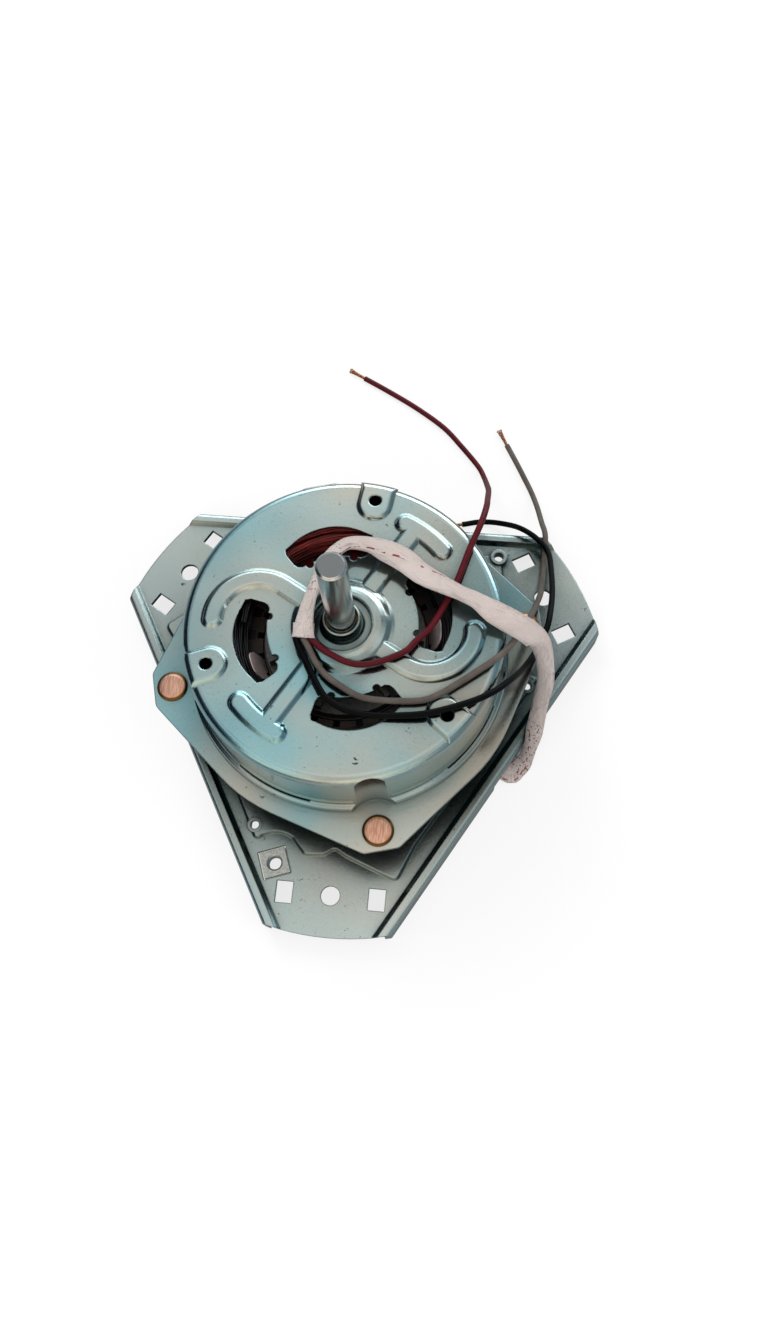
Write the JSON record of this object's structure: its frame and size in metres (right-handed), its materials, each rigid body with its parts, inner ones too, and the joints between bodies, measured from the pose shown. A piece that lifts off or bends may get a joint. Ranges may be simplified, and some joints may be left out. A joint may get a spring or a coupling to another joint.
{
  "type": "washing machine motor",
  "caption": "Round induction motor in two riveted pressed shells on a three-lobed bracket, with an output shaft and loose leads in a fabric sleeve.",
  "frame": {"origin": "centre of the bracket's circle of mounting holes, on the underside of its plate", "axes": "+Z along the output shaft towards its free end, -Y towards the lobe that points at the viewer in the picture"},
  "size_m": [0.194, 0.2549, 0.119],
  "materials": {
    "zinc_steel": "zinc plated, satin, blue-grey",
    "copper_rivet": "copper coloured, satin",
    "plain_steel": "satin",
    "shaft_steel": "ground",
    "core_steel": "stacked sheets, dark",
    "slot_paper": "matt",
    "enamelled_wire": "dark red enamel",
    "bronze": "sintered, oily",
    "felt": "oiled felt",
    "cast_aluminium": "as cast",
    "sleeve_fabric": "woven, off-white",
    "red_insulation": "satin",
    "grey_insulation": "satin",
    "black_insulation": "satin",
    "bare_copper": "bare stranded wire"
  },
  "bodies": {
    "housing": {"upper_shell": "zinc_steel", "lower_shell": "zinc_steel", "mounting_bracket": "zinc_steel", "shell_rivets": "copper_rivet", "bracket_screws": "plain_steel", "bracket_washers": "plain_steel", "square_nut": "plain_steel", "stator_core": "core_steel", "slot_liners": "slot_paper", "slot_conductors": "enamelled_wire", "upper_winding": "enamelled_wire", "lower_winding": "enamelled_wire", "upper_bush": "bronze", "lower_bush": "bronze", "upper_felt": "felt", "lower_felt": "felt", "upper_retainer": "plain_steel", "lower_retainer": "plain_steel", "lead_sleeve": "sleeve_fabric", "red_lead": "red_insulation", "grey_lead": "grey_insulation", "black_lead": "black_insulation", "bare_strands": "bare_copper"},
    "rotor": {"shaft": "shaft_steel", "rotor_core": "core_steel", "rotor_bars": "cast_aluminium", "upper_end_ring": "cast_aluminium", "lower_end_ring": "cast_aluminium", "upper_thrust_washer": "bronze", "lower_thrust_washer": "bronze"}
  },
  "joints": [
    {"name": "rotor_spin", "type": "hinge", "parent": "housing", "child": "rotor", "pos_m": [0, 0, 0], "axis": [0, 0, 1], "continuous": true}
  ]
}
